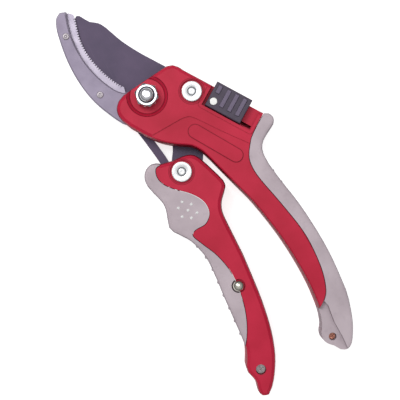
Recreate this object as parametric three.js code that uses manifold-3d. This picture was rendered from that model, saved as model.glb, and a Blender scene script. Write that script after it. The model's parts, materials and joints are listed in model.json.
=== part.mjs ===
// Compound-action bypass pruning shears, closed and locked, lying on their back face.
// Millimetres, +Z along the pivots towards the nut, +Y along the tool towards the blade tip.
// Every outline is drawn about the main pivot; the last lines move the whole tool to its own origin.
import * as THREE from 'three';
import { mergeVertices } from 'three/addons/utils/BufferGeometryUtils.js';
import Module from 'manifold-3d';

const wasm = await Module();
wasm.setup();

// ---- driving sizes -------------------------------------------------------------------------
const jawReach = 51; // main pivot to blade tip, along Y
const handleReach = 150.8; // main pivot to the handle ends, along Y
const clearance = 0.25; // between stacked plates and round pins
const seam = 0.3; // between a shell and the grip beside it
const backWall = 3.75; // plastic under the frame plate
const plateThickness = 3; // frame plate and pull link
const bladeThickness = 2.9;
const insertThickness = 1.2;
const hookThickness = 4;
const frontWall = 3.05; // plastic over the hook
const edgeRoundWidth = 1.9; // rounding of the handles' long edges, across
const edgeRoundDepth = 3; // the same rounding, through the thickness

// ---- pivots and fasteners ------------------------------------------------------------------
const handlePivot = new THREE.Vector2(-3.7, -39);
const linkLowPin = new THREE.Vector2(-11.5, -41);
const linkHighPin = new THREE.Vector2(-11.4, -3);
const bodyRivetSpot = new THREE.Vector2(19.3, -8.6);
const mainPivot = new THREE.Vector2(0, 0);
const boltRadius = 3.4;
const bushWall = 1.5;
const nutFlats = 10;
const nutHeight = 5.2;
const washerRadius = 5.2;
const washerHeight = 0.8;
const boltHeadRadius = 6;
const boltHeadHeight = 2.2;
const rivetRadius = 2.4;
const rivetHeadRadius = 4.75;
const spacerRadius = 3.8;
const rivetHeadHeight = 1.1;
const linkPinRadius = 1.6;
const linkPinPlay = 0.25; // the open pivot of the linkage runs loose by this much
const insertRivetRadius = 1;
const insertRivetHeadRadius = 1.6;
const screwRadius = 1.3;
const lowerScrewBore = 2.45;
const upperScrewBore = 1.85;
const screwHeadHeight = 1.6;
const screwSink = 2.6; // how far the end screws sit below the front face
const studRadius = 2.8;
const studShankRadius = 1.4;
const studDepth = 4;
const springWire = 1.2;
const springTurns = 3;
const springMeanRadius = 4;
const springPitch = 1.45;
const lockTravel = 4.5;
const lockLength = 18.8;
const lockWidth = 12.6;
const lockHeight = 4.6;
const ribHeight = 0.5;
const ribWidth = 2;
const lockRecessDepth = 3.6;
const toothPitch = 1.22;
const toothDepth = 0.95;

// ---- the stack through the thickness, from the back face up ---------------------------------
const plateBottom = backWall + clearance;
const plateTop = plateBottom + plateThickness;
const bladeBottom = plateTop + clearance;
const bladeTop = bladeBottom + bladeThickness;
const hookBottom = bladeTop + clearance;
const insertTop = hookBottom + insertThickness;
const hookTop = hookBottom + hookThickness;
const pocketTop = hookTop + clearance;
const thickness = pocketTop + frontWall;
const partingZ = thickness / 2;
const beyond = 5; // cutters run past the faces they open by this much

// ---- outlines follow the two reaches ---------------------------------------------------------
const shankStart = -66; // below this the handles stretch with handleReach
const drawnShankEnd = -150.8;
const jawStart = 9; // above this the jaws stretch with jawReach
const drawnJawEnd = 51;

function stretch(x, y) {
  if (y < shankStart) {
    const share = (shankStart - y) / (shankStart - drawnShankEnd);
    return new THREE.Vector2(x, shankStart - share * (handleReach + shankStart));
  }
  if (y > jawStart) {
    const share = (y - jawStart) / (drawnJawEnd - jawStart);
    return new THREE.Vector2(x, jawStart + share * (jawReach - jawStart));
  }
  return new THREE.Vector2(x, y);
}

// A smooth curve through hand-placed points, as a list of Vector2.
function curve(points, stepsPerSpan = 2) {
  const spline = new THREE.SplineCurve(points.map(([x, y]) => stretch(x, y)));
  return spline.getPoints((points.length - 1) * stepsPerSpan);
}

// A corner of straight edges, stretched like the curves.
function corner(x, y) {
  return [stretch(x, y)];
}

// The same curve moved sideways, to the left of its own direction when distance is positive.
function offset(points, distance) {
  return points.map((point, i) => {
    const before = points[Math.max(i - 1, 0)];
    const after = points[Math.min(i + 1, points.length - 1)];
    const along = after.clone().sub(before).normalize();
    return new THREE.Vector2(point.x - along.y * distance, point.y + along.x * distance);
  });
}

// Two round ends of different size joined by straight flanks.
function strap(a, b, radiusA, radiusB, segments = 20) {
  const direction = b.clone().sub(a).angle();
  const points = [];
  for (let i = 0; i <= segments; i += 1) {
    const angle = direction + Math.PI / 2 + (i / segments) * Math.PI;
    points.push(new THREE.Vector2(a.x + radiusA * Math.cos(angle), a.y + radiusA * Math.sin(angle)));
  }
  for (let i = 0; i <= segments; i += 1) {
    const angle = direction - Math.PI / 2 + (i / segments) * Math.PI;
    points.push(new THREE.Vector2(b.x + radiusB * Math.cos(angle), b.y + radiusB * Math.sin(angle)));
  }
  return points;
}

// ---- solids ----------------------------------------------------------------------------------
function toManifold(geometry) {
  const bare = geometry.index ? geometry.toNonIndexed() : geometry.clone();
  bare.deleteAttribute('normal');
  bare.deleteAttribute('uv');
  const merged = mergeVertices(bare, 1e-4);
  const mesh = new wasm.Mesh({
    numProp: 3,
    vertProperties: new Float32Array(merged.attributes.position.array),
    triVerts: new Uint32Array(merged.index.array),
  });
  return new wasm.Manifold(mesh);
}

function toGeometry(manifold) {
  const mesh = manifold.getMesh();
  const geometry = new THREE.BufferGeometry();
  geometry.setAttribute('position', new THREE.BufferAttribute(new Float32Array(mesh.vertProperties), 3));
  geometry.setIndex(new THREE.BufferAttribute(new Uint32Array(mesh.triVerts), 1));
  geometry.computeVertexNormals();
  return geometry;
}

function prism(points, bottom, top) {
  const geometry = new THREE.ExtrudeGeometry(new THREE.Shape(points), {
    depth: top - bottom,
    bevelEnabled: false,
  });
  geometry.translate(0, 0, bottom);
  return toManifold(geometry);
}

// A prism whose edges are rounded on both faces, within the outline.
function roundedPrism(points, bottom, top, width, depth, segments = 2) {
  const geometry = new THREE.ExtrudeGeometry(new THREE.Shape(points), {
    depth: top - bottom - 2 * depth,
    bevelEnabled: true,
    bevelSize: width,
    bevelOffset: -width,
    bevelThickness: depth,
    bevelSegments: segments,
  });
  geometry.translate(0, 0, bottom + depth);
  return toManifold(geometry);
}

function disc(centre, radius, bottom, top, segments = 24) {
  return turned(centre, [[0, bottom], [radius, bottom], [radius, top], [0, top]], segments);
}

// A round piece about a vertical axis, from [radius, z] pairs that start and end on the axis.
function turned(centre, profile, segments = 24) {
  const geometry = new THREE.LatheGeometry(
    profile.map(([radius, z]) => new THREE.Vector2(radius, z)),
    segments,
  );
  geometry.rotateX(Math.PI / 2);
  geometry.translate(centre.x, centre.y, 0);
  return toManifold(geometry);
}

function cutAll(solid, cutters) {
  return cutters.reduce((rest, cutter) => rest.subtract(cutter), solid);
}

function joinAll(solids) {
  return solids.reduce((sum, solid) => sum.add(solid));
}

// A point at a share of the way along a direction, used for everything on the lock's slide.
const lockAngle = THREE.MathUtils.degToRad(-58.5);
const lockAlong = new THREE.Vector2(Math.cos(lockAngle), Math.sin(lockAngle));
const lockAcross = new THREE.Vector2(-lockAlong.y, lockAlong.x);
const lockCorner = new THREE.Vector2(21.3, -17.2); // inner front corner of the slider

function onLock(along, across) {
  return lockCorner
    .clone()
    .addScaledVector(lockAlong, along)
    .addScaledVector(lockAcross, across);
}

function lockBlock(alongFrom, alongTo, acrossFrom, acrossTo, bottom, top) {
  return prism(
    [
      onLock(alongFrom, acrossFrom),
      onLock(alongTo, acrossFrom),
      onLock(alongTo, acrossTo),
      onLock(alongFrom, acrossTo),
    ],
    bottom,
    top,
  );
}

// ---- materials ---------------------------------------------------------------------------------
const finish = (color, roughness, metalness) => new THREE.MeshStandardMaterial({ color, roughness, metalness });
const finishes = {
  redShell: () => finish(0xc83a58, 0.42, 0),
  greyGrip: () => finish(0xc4b8be, 0.75, 0),
  satinAluminium: () => finish(0xa69cb0, 0.4, 0.9),
  toothedSteel: () => finish(0xbeb8c4, 0.35, 1),
  darkCoating: () => finish(0x5c506a, 0.5, 0.6),
  zinc: () => finish(0xd8dade, 0.25, 1),
  blackPlastic: () => finish(0x3c3244, 0.55, 0),
  whitePlastic: () => finish(0xf4f4f4, 0.5, 0),
  brass: () => finish(0x9a6a4a, 0.4, 1),
  springSteel: () => finish(0x8a8c90, 0.35, 1),
};

const shears = new THREE.Group();

function addPiece(name, manifold, material) {
  const mesh = new THREE.Mesh(toGeometry(manifold), material);
  mesh.name = name;
  shears.add(mesh);
}

// ---- handle outlines -----------------------------------------------------------------------------
const upperOutline = [
  ...curve([[-9.5, 6.2], [-3, 6.8], [6, 7.4], [15, 8]], 2),
  ...curve([[17.8, 7], [19.8, 4.8], [21, 2.4]], 3),
  ...corner(43.6, -34.2),
  ...curve([[45.9, -35.6], [46.8, -38.2], [45.2, -41], [41.4, -43], [37.2, -45.4], [34.8, -48.4], [34, -52]], 2),
  ...curve([[33.9, -56], [35, -66], [37, -80], [37.9, -96], [37.6, -110], [35.8, -126]], 3),
  ...curve([[34.6, -131], [31.2, -140.3], [27.4, -146.9], [24.9, -149.8], [22, -150.8], [19.4, -149.3]], 3),
  ...curve([[17.7, -146.3], [15.5, -143.8], [14.6, -141], [15.4, -138.2], [17.6, -135.2], [19.4, -130.5]], 3),
  ...curve([[20.4, -126], [21.6, -116], [21.9, -103], [21, -87], [18.3, -69], [15.2, -57], [11, -41]], 3),
  ...curve([[9.4, -35.6], [6.4, -31], [0.5, -26.9], [-5.2, -22], [-10, -15.8], [-14.4, -8.4]], 3),
  ...curve([[-16, -4.4], [-16.4, -1], [-15.4, 2.4], [-12.9, 4.9]], 3),
];

// Where the grip begins on the upper handle, from the horn down the handle and across its end.
const upperSeam = curve(
  [
    [48, -31.6], [34.6, -39.8], [30, -44.4], [27, -49], [26, -54], [26.5, -61], [29, -74],
    [31.4, -89], [31.7, -99], [30.4, -111], [27.8, -119.6], [24.6, -124.2], [18, -128.6],
  ],
  4,
);

const lowerOutline = [
  ...curve([[-10.2, -30.9], [-12.4, -29.3], [-15.4, -28.7], [-18.7, -30.2], [-20.8, -33.4], [-21.2, -37]], 3),
  ...curve([[-20.4, -41], [-19, -46.6], [-19.2, -50.6], [-20.8, -55], [-22.1, -58.8]], 3),
  ...curve([[-21.4, -61.6], [-18.6, -65.8], [-16.2, -70], [-14.6, -76], [-14, -82], [-14.8, -91]], 3),
  ...curve([[-16, -100], [-17.3, -112], [-18.6, -123.4], [-20.4, -128.6], [-23.4, -133.6]], 3),
  ...curve([[-24, -136.8], [-23.2, -140], [-23, -142.8], [-24.2, -146.6], [-23.4, -149.8], [-20.6, -150.8]], 2),
  ...curve([[-17.6, -148.6], [-13.6, -144], [-8.6, -136], [-4.4, -125], [-1.2, -111], [0.8, -97]], 3),
  ...curve([[2, -87], [2.9, -72], [3.6, -65], [5.5, -60.8], [8.8, -57.4], [11, -54.8], [11.3, -52]], 3),
  ...curve([[10.4, -48.4], [8.2, -41.2], [6.3, -36.4], [4, -34], [0.5, -32.8], [-5, -32.2]], 3),
];

// Where the grip begins on the lower handle: round the thumb pad, then down to its outer edge.
const lowerSeam = curve(
  [
    [-8.6, -27], [-10.4, -31], [-13.6, -32], [-14.9, -36], [-13.6, -40.4], [-10.2, -44.8], [-5, -50.2],
    [-1.6, -56.4], [-2, -62.4], [-6, -66], [-11.6, -66.2], [-14, -67.8], [-12.2, -73], [-8.6, -82],
    [-7.1, -93], [-9.2, -107], [-13.6, -118], [-19.6, -126.4], [-26, -132],
  ],
  4,
);

const upperGripSide = [
  new THREE.Vector2(10, -handleReach - beyond),
  new THREE.Vector2(60, -handleReach - beyond),
  new THREE.Vector2(60, -31.6),
];
const lowerGripSide = [new THREE.Vector2(-40, -132), new THREE.Vector2(-40, -27)];

// ---- what moves inside the head: swept spaces that every shell leaves free --------------------
const handleSwing = THREE.MathUtils.degToRad(32);
const linkEyeRadius = 3.3;
const linkWidth = 4;
const lugRadius = 4.4;
const headPocketRadius = 18.2;
const rivetBossRadius = 4.6;

function about(point, pivot, angle) {
  return point.clone().rotateAround(pivot, angle);
}

// The pull link's middle line bows a little towards the blade pivot.
const linkBow = [new THREE.Vector2(-8.7, -33), new THREE.Vector2(-9.6, -20), new THREE.Vector2(-11, -9)];

function linkShape(width, eyeRadius) {
  const middle = [linkLowPin, ...linkBow, linkHighPin];
  const spline = new THREE.SplineCurve(middle).getPoints(20);
  return [
    prism([...offset(spline, width / 2), ...offset(spline, -width / 2).reverse()], plateBottom, plateTop),
    disc(linkLowPin, eyeRadius, plateBottom, plateTop, 28),
    disc(linkHighPin, eyeRadius, plateBottom, plateTop, 28),
  ];
}

// The link seen from the lower handle: it turns about its low pin as the handle opens.
function linkSweepInHandle() {
  const swept = [];
  const steps = 5;
  for (let i = 0; i <= steps; i += 1) {
    const angle = (i / steps) * handleSwing * 1.05;
    const spline = new THREE.SplineCurve([linkLowPin, ...linkBow]).getPoints(8);
    const turnedLine = spline.map((point) => about(point, linkLowPin, angle));
    const far = turnedLine[turnedLine.length - 1];
    swept.push(
      prism(
        strap(linkLowPin, far, linkEyeRadius + clearance, linkWidth / 2 + 1.6, 5),
        backWall,
        plateTop + clearance,
      ),
    );
  }
  return joinAll(swept);
}

// The lug seen from the lower handle: it turns about the handle pivot.
const plateOutline = [
  ...curve([[-6, 2.4], [-6.3, -3], [-4.4, -10], [-1.2, -19], [-1.3, -25.6], [-5.6, -32]], 3),
  ...curve([[-7.4, -36.4], [-7.9, -40.2], [-5.6, -43], [-2.4, -43.4], [2, -42]], 3),
  ...corner(7.4, -39.6),
  ...curve([[10.4, -35.2], [13, -28], [19.5, -17.6], [24.6, -10.4]], 3),
  ...curve([[24.6, -6.2], [21, -3], [14, -1], [6, 4.6], [0, 6.5], [-4, 5.2]], 3),
];

function lugSweepInHandle() {
  const swept = [];
  const steps = 5;
  const reach = 18;
  for (let i = 0; i <= steps; i += 1) {
    const angle = (i / steps) * handleSwing * 1.05;
    const leftEdge = about(new THREE.Vector2(-8.1, -30), handlePivot, angle);
    const rightEdge = about(new THREE.Vector2(handlePivot.x + reach, -38.6), handlePivot, angle);
    const heel = about(new THREE.Vector2(7.8, -40.2), handlePivot, angle);
    const top = about(new THREE.Vector2(6, -24), handlePivot, angle);
    const sole = about(new THREE.Vector2(-2, -44), handlePivot, angle);
    swept.push(prism([sole, heel, rightEdge, top, leftEdge, handlePivot.clone()], backWall, plateTop + clearance));
  }
  swept.push(disc(handlePivot, lugRadius + 1, backWall, plateTop + clearance));
  return joinAll(swept);
}

// ---- fastener bores shared by several pieces ---------------------------------------------------
function bore(centre, radius, bottom = -beyond, top = thickness + beyond) {
  return disc(centre, radius, bottom, top, 20);
}

const upperScrewSpot = stretch(19.2, -142.2);
const lowerScrewSpot = stretch(-17.9, -138.2);
const studSpot = stretch(-7.4, -98.8);
const bushRadius = boltRadius + bushWall;
const rivetRecess = rivetHeadRadius + 0.8;
const rivetRecessDepth = 0.8;
const rivetTailSeat = 1.3; // depth of the same seat in the back face

function rivetSeats(centre) {
  return [
    bore(centre, rivetRadius + clearance),
    disc(centre, rivetRecess, thickness - rivetRecessDepth, thickness + beyond),
    disc(centre, rivetRecess, -beyond, rivetTailSeat),
  ];
}

const screwFootZ = 3;

function screwSeats(centre, headBore, faceZ) {
  return [
    bore(centre, headBore, faceZ - screwSink - screwHeadHeight - clearance, thickness + beyond),
    bore(centre, screwRadius + clearance, screwFootZ - clearance, thickness),
  ];
}

// ---- upper handle: two shells and the grip -----------------------------------------------------
const nutSeatZ = thickness - 1.5;
const faceDrop = 0.55; // the handle's front face lies this much below the head's

// The front face steps down below a sloped line, with a long pad left standing.
function faceStep() {
  const stepLine = [
    ...curve([[-20, -17.2], [4, -17.2], [10.6, -17.6], [14.2, -20], [22, -31.4], [31.6, -44.6]], 3),
  ];
  const region = [...stepLine, new THREE.Vector2(31.6, -handleReach - beyond), new THREE.Vector2(-30, -handleReach - beyond)];
  const pad = strap(new THREE.Vector2(11.3, -25.7), new THREE.Vector2(22.4, -45), 3.3, 3.3, 12);
  const floor = thickness - faceDrop;
  return prism(region, floor, thickness + beyond).subtract(prism(pad, floor - 1, thickness - 0.1));
}

const recessCorners = [onLock(-1.4, -0.5), onLock(24.4, -0.5), onLock(24.4, 30), onLock(-1.4, 30)];
const lockFloor = thickness - lockRecessDepth;
const slotWidth = 1.6;
const slotInset = 0.4;

// A fine groove in the face, following the recess at a small distance.
function recessGroove() {
  const gap = 1.6;
  const width = 0.4;
  const depth = 0.35;
  const left = -1.4 - gap;
  const low = -0.5 - gap;
  const right = 24.4 + gap;
  const path = [onLock(left, 30), onLock(left, low + 1.6), onLock(left + 0.5, low + 0.5), onLock(left + 1.6, low)];
  path.push(onLock(right - 1.2, low), onLock(right - 0.4, low + 0.4), onLock(right, low + 1.2), onLock(right, 30));
  return prism([...offset(path, width / 2), ...offset(path, -width / 2).reverse()], thickness - depth, thickness + beyond);
}
const stemThickness = 1.1;
const tongueBottom = bladeBottom + 0.15;
const tongueTop = bladeTop - 0.15;
const tongueRoot = onLock(4.2, -2.6);
const tongueTip = new THREE.Vector2(13.4, -14.8);
const tongueNose = new THREE.Vector2(11.9, -12.3);

function tonguePath(grow) {
  return [
    strap(tongueTip, tongueRoot, 1.5 + grow, 1.5 + grow, 10),
    strap(tongueNose, tongueTip, 1.2 + grow, 1.5 + grow, 10),
  ];
}

// The room that the lock's tongue needs over its travel.
function tongueRoom() {
  const rooms = [];
  const steps = 4;
  for (let i = 0; i <= steps; i += 1) {
    const shift = lockAlong.clone().multiplyScalar((i / steps) * lockTravel);
    tonguePath(0.4).forEach((outline) => {
      rooms.push(prism(outline.map((p) => p.clone().add(shift)), tongueBottom - 0.3, tongueTop + 0.3));
    });
  }
  rooms.push(lockBlock(0.6, 10.4 + lockTravel, -3.4, slotInset + slotWidth, tongueBottom - 0.3, tongueTop + 0.3));
  rooms.push(lockBlock(0.6, 24, slotInset, slotInset + slotWidth, tongueBottom - 0.3, lockFloor + 0.1));
  return joinAll(rooms);
}

function headPocket() {
  const room = disc(mainPivot, headPocketRadius, backWall, pocketTop, 48);
  return room.subtract(disc(bodyRivetSpot, rivetBossRadius, 0, thickness));
}

// The link leaves the head on its left; the plate leaves it below.
function linkRoomInBody() {
  return prism(
    curve([[-22, 6], [-20, -30], [-4.6, -30], [-6.4, -18], [-7, -8], [-6, 4]], 2),
    backWall,
    plateTop + clearance,
  );
}

const upperHollows = [
  headPocket(),
  linkRoomInBody(),
  prism(grown(plateOutline, 0.3), backWall, plateTop + clearance),
  prism(hookTangOutline(0.35), hookBottom - clearance, pocketTop),
];

function grown(points, distance) {
  const ring = [...points, points[0], points[1]];
  return points.map((point, i) => {
    const before = ring[(i + points.length - 1) % points.length];
    const after = ring[(i + 1) % points.length];
    const along = after.clone().sub(before).normalize();
    return new THREE.Vector2(point.x - along.y * -distance, point.y + along.x * -distance);
  });
}

function hookTangOutline(grow) {
  const tang = [
    ...curve([[-24, 3], [-20.6, -2], [-17.4, -6.6], [-12.5, -9.6], [0, -10.4], [14, -14.6], [20, -15.4]], 3),
    ...curve([[25, -12.6], [26, -7.4], [23, -2.4], [17.4, 0.6], [10.6, 5.6], [0, 9.6], [-6, 12], [-20, 12]], 3),
  ];
  return grow ? grown(tang, grow) : tang;
}

const upperSolid = roundedPrism(upperOutline, 0, thickness, edgeRoundWidth, edgeRoundDepth);
const upperShellSolid = upperSolid.subtract(prism([...upperSeam, ...upperGripSide], -beyond, thickness + beyond));

function upperShell(isFront) {
  const half = isFront
    ? prism(bigSquare(), -beyond, partingZ + seam / 2)
    : prism(bigSquare(), partingZ - seam / 2, thickness + beyond);
  const cutters = [
    half,
    ...upperHollows,
    tongueRoom(),
    ...rivetSeats(bodyRivetSpot),
    disc(bodyRivetSpot, spacerRadius + clearance, plateTop, hookBottom),
    bore(mainPivot, boltRadius + clearance),
  ];
  if (isFront) {
    cutters.push(
      faceStep(),
      prism(recessCorners, lockFloor, thickness + beyond),
      recessGroove(),
      turned(mainPivot, [[0, nutSeatZ], [8.2, nutSeatZ], [9.9, thickness], [9.9, thickness + 2], [0, thickness + 2]], 56),
    );
  } else {
    cutters.push(disc(mainPivot, boltHeadRadius + 0.6, -beyond, boltHeadHeight + 0.6));
  }
  return cutAll(upperShellSolid, cutters);
}

function bigSquare() {
  const half = 200;
  return [
    new THREE.Vector2(-half, -half - handleReach),
    new THREE.Vector2(half, -half - handleReach),
    new THREE.Vector2(half, half + jawReach),
    new THREE.Vector2(-half, half + jawReach),
  ];
}

// Small rounded nubs along a grip's outer edge.
function nubs(outlineSpots, z) {
  return outlineSpots.map((spot) => {
    const geometry = new THREE.SphereGeometry(1, 8, 5);
    geometry.rotateX(Math.PI / 2);
    geometry.scale(0.9, 0.8, 3.4);
    geometry.translate(spot.x, spot.y, z);
    return toManifold(geometry);
  });
}

const nubStep = 6.7;
const nubCount = 9;
const upperNubLine = new THREE.SplineCurve(
  [[33.9, -57], [34.9, -66], [36.6, -80], [37.5, -96], [37.2, -110], [35.6, -126]].map(([x, y]) => stretch(x, y)),
);
const lowerNubLine = new THREE.SplineCurve(
  [[-15.3, -71.5], [-14, -80], [-14.3, -89], [-15.6, -99], [-17, -112], [-18.2, -122]].map(([x, y]) => stretch(x, y)),
);

function nubSpots(line, first, count) {
  const length = line.getLength();
  return Array.from({ length: count }, (_, i) => line.getPointAt(Math.min((first + i * nubStep) / length, 1)));
}

const tabDrop = 3.4; // the end tab's face lies this much below the grip's

function upperGrip() {
  const region = [...offset(upperSeam, seam), ...upperGripSide];
  const body = upperSolid.intersect(prism(region, -beyond, thickness + beyond));
  const tabFace = prism(
    curve([[12, -124], [23.9, -124.8], [23.2, -136], [22.8, -147.4], [20, -156], [8, -156]], 3),
    thickness - tabDrop,
    thickness + beyond,
  );
  return cutAll(joinAll([body, ...nubs(nubSpots(upperNubLine, 3, nubCount), partingZ)]), [
    tabFace,
    ...screwSeats(upperScrewSpot, upperScrewBore, thickness - tabDrop),
  ]);
}

// ---- lower handle: two shells and the grip ------------------------------------------------------
const lowerSolid = roundedPrism(lowerOutline, 0, thickness, edgeRoundWidth, edgeRoundDepth);
const springRoomRadius = springMeanRadius + springWire / 2 + 0.7;
const springBottom = plateTop + clearance + springWire / 2 + 0.2;
const springTop = springBottom + springTurns * springPitch;
const springLegRadius = 10;
const springLegAngle = THREE.MathUtils.degToRad(227);
const springEndAngle = THREE.MathUtils.degToRad(250); // where the coil ends and the leg starts
const springLegPlay = THREE.MathUtils.degToRad(8);
const springAnchor = new THREE.Vector2(-0.6, -33.4); // the spring's other leg, held in the frame plate

function springRoom() {
  const legFrom = springLegAngle - springLegPlay;
  const legTo = springEndAngle + handleSwing + springLegPlay;
  const sector = [handlePivot.clone()];
  for (let i = 0; i <= 8; i += 1) {
    const angle = legFrom + (i / 8) * (legTo - legFrom);
    sector.push(
      new THREE.Vector2(
        handlePivot.x + (springLegRadius + 1) * Math.cos(angle),
        handlePivot.y + (springLegRadius + 1) * Math.sin(angle),
      ),
    );
  }
  return [
    disc(handlePivot, springRoomRadius, plateTop, springTop + springWire / 2 + 0.5),
    prism(sector, springTop - springWire / 2 - 0.5, springTop + springWire / 2 + 0.5),
    prism(
      [
        new THREE.Vector2(-10, -33.5), handlePivot.clone(), new THREE.Vector2(4, -33), new THREE.Vector2(3, -28),
        new THREE.Vector2(-10, -28),
      ],
      plateTop,
      springBottom + springWire / 2 + 0.5,
    ),
  ];
}

function lowerPocket() {
  return [linkSweepInHandle(), lugSweepInHandle()];
}

function lowerShell(isFront) {
  const shell = lowerSolid.subtract(prism([...lowerSeam, ...lowerGripSide], -beyond, thickness + beyond));
  const half = isFront
    ? prism(bigSquare(), -beyond, partingZ + seam / 2)
    : prism(bigSquare(), partingZ - seam / 2, thickness + beyond);
  return cutAll(shell, [
    half,
    ...lowerPocket(),
    ...springRoom(),
    ...rivetSeats(handlePivot),
    bore(linkLowPin, linkPinRadius + clearance, plateBottom - 2.2, plateTop + 2.2),
    ...screwSeats(lowerScrewSpot, lowerScrewBore, thickness),
    bore(studSpot, studShankRadius + clearance, thickness - studDepth - 0.4, thickness + beyond),
    disc(studSpot, studRadius + 0.5, thickness - 1, thickness + beyond),
  ]);
}

function lowerGrip() {
  const region = [...offset(lowerSeam, -seam), ...lowerGripSide];
  const body = lowerSolid.intersect(prism(region, -beyond, thickness + beyond));
  return cutAll(joinAll([body, ...nubs(nubSpots(lowerNubLine, 2, nubCount - 1), partingZ)]), [
    ...lowerPocket(),
    ...springRoom(),
    bore(linkLowPin, linkPinRadius + clearance, plateBottom - 2.2, plateTop + 2.2),
    disc(studSpot, studRadius + 0.5, thickness - studDepth, thickness + beyond),
  ]);
}

// ---- jaws -------------------------------------------------------------------------------------
const hookOuter = curve(
  [
    [-16.2, 55.4], [-18.8, 54], [-20.7, 51], [-22.2, 46.4], [-24.2, 36], [-24.9, 26],
    [-24.2, 16], [-22.2, 7.6], [-18.6, -1.2],
  ],
  4,
);
const hookTang = [
  ...curve([[-16.6, -5], [-12.6, -8.6], [-4, -9.4], [8, -11.6], [16, -14.6], [21, -14.4]], 3),
  ...curve([[24.4, -11.6], [25, -7], [22, -3.2], [15, 0.4], [9, 5], [0, 7.2], [-5, 6.4]], 3),
];
const hookInner = curve([[-8.9, 7.2], [-12, 11], [-15.4, 19], [-17.4, 28], [-17.7, 36], [-16.7, 44.6], [-14.1, 52.8]], 3);
const insertEdge = curve(
  [[-7.4, 9.8], [-10.2, 15], [-12.8, 22.4], [-14.5, 31], [-14.3, 39], [-12.8, 45], [-11.6, 48.8], [-11.1, 52]],
  4,
);
const hookOutline = [...hookOuter, ...hookTang, ...hookInner, ...corner(-13.3, 54.2)];
const insertTail = curve([[-12.6, 53.6], [-14.8, 54.1], [-17.4, 52.4], [-20, 46], [-21.9, 36], [-22.5, 26]], 3);
const insertHeel = curve([[-21.8, 17], [-20.4, 10.6], [-17, 6.6], [-12.4, 5.8], [-8.2, 6.8]], 3);
const insertOutline = [...insertEdge, ...insertTail, ...insertHeel];
const insertRivetSpots = [stretch(-19.2, 44), stretch(-19, 12)];

function insertTeeth() {
  const line = new THREE.SplineCurve(insertEdge);
  const count = Math.floor((line.getLength() - 2.4) / toothPitch);
  const notches = [];
  for (let i = 0; i < count; i += 1) {
    const share = (1.4 + i * toothPitch) / line.getLength();
    const spot = line.getPointAt(share);
    const along = line.getTangentAt(share);
    const inward = new THREE.Vector2(-along.y, along.x);
    notches.push(
      prism(
        [
          spot.clone().addScaledVector(along, -toothPitch * 0.34).addScaledVector(inward, -0.4),
          spot.clone().addScaledVector(along, toothPitch * 0.34).addScaledVector(inward, -0.4),
          spot.clone().addScaledVector(inward, toothDepth),
        ],
        hookBottom - 1,
        insertTop + 1,
      ),
    );
  }
  return notches;
}

const bladeEdge = curve([[-11.4, 50.2], [-14.6, 46.4], [-16.4, 39], [-16.5, 31], [-15.2, 23], [-12.4, 15.4], [-9.4, 10]], 3);
const bladeHeel = [
  ...curve([[-9.6, 6.6], [-11.6, 2], [-14.8, -1.4], [-15.2, -4.4], [-13, -6.7], [-9.6, -6.6]], 3),
  ...curve([[-6.6, -7.4], [-2, -9.6], [3.4, -9.6]], 3),
];
const bladeNotch = [new THREE.Vector2(6.6, -8.6), new THREE.Vector2(5.6, -6.8), new THREE.Vector2(8.6, -5)];
const bladeSpine = [
  ...curve([[10.2, -5.8], [13, -1], [14.8, 4], [15, 8.3]], 3),
  ...curve([[12.2, 12.8], [7.2, 20.9], [2.8, 29.4], [0.2, 36.6], [-0.9, 39.6], [-2.6, 42.6], [-6, 45.4]], 3),
  ...curve([[-7.6, 48], [-8.8, 50.2], [-10.2, 51]], 3),
];

function blade() {
  const outline = [...bladeEdge, ...bladeHeel, ...bladeNotch, ...bladeSpine];
  const flat = prism(outline, bladeBottom, bladeTop);
  const grind = 4.6; // width of the bevel ground into the blade's back
  const edgeLand = 0.35; // steel left at the cutting edge
  const keep = [...bladeEdge, new THREE.Vector2(-11, 2), new THREE.Vector2(-60, -60), new THREE.Vector2(90, -60)];
  keep.push(new THREE.Vector2(90, jawReach + 60), new THREE.Vector2(-8, jawReach + 60));
  const groundGeometry = new THREE.ExtrudeGeometry(new THREE.Shape(keep), {
    depth: 6,
    bevelEnabled: true,
    bevelSize: grind,
    bevelOffset: -grind,
    bevelThickness: bladeThickness - edgeLand,
    bevelSegments: 1,
  });
  groundGeometry.translate(0, 0, bladeTop - edgeLand);
  return cutAll(flat.intersect(toManifold(groundGeometry)), [
    bore(mainPivot, bushRadius + 0.1),
    bore(linkHighPin, linkPinRadius + 0.05),
  ]);
}

function hook() {
  const bevel = 0.6;
  const body = roundedPrism(hookOutline, hookBottom, hookTop, bevel, bevel, 1);
  return cutAll(body, [
    prism(grown(insertOutline, 0.25), hookBottom - beyond, insertTop + clearance),
    ...insertRivetSpots.map((spot) => bore(spot, insertRivetRadius + 0.1)),
    bore(mainPivot, boltRadius + clearance),
    bore(bodyRivetSpot, rivetRadius + clearance),
  ]);
}

function serratedInsert() {
  return cutAll(prism(insertOutline, hookBottom, insertTop), [
    ...insertTeeth(),
    ...insertRivetSpots.map((spot) => bore(spot, insertRivetRadius + 0.1)),
  ]);
}

// ---- fasteners and inner pieces -----------------------------------------------------------------
function insertRivet(spot) {
  return turned(spot, [
    [0, hookBottom + 0.05],
    [insertRivetRadius, hookBottom + 0.05],
    [insertRivetRadius, hookTop + 0.1],
    [insertRivetHeadRadius, hookTop + 0.1],
    [insertRivetHeadRadius * 0.9, hookTop + 0.5],
    [insertRivetHeadRadius * 0.45, hookTop + 0.65],
    [0, hookTop + 0.5],
  ], 20);
}

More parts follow.
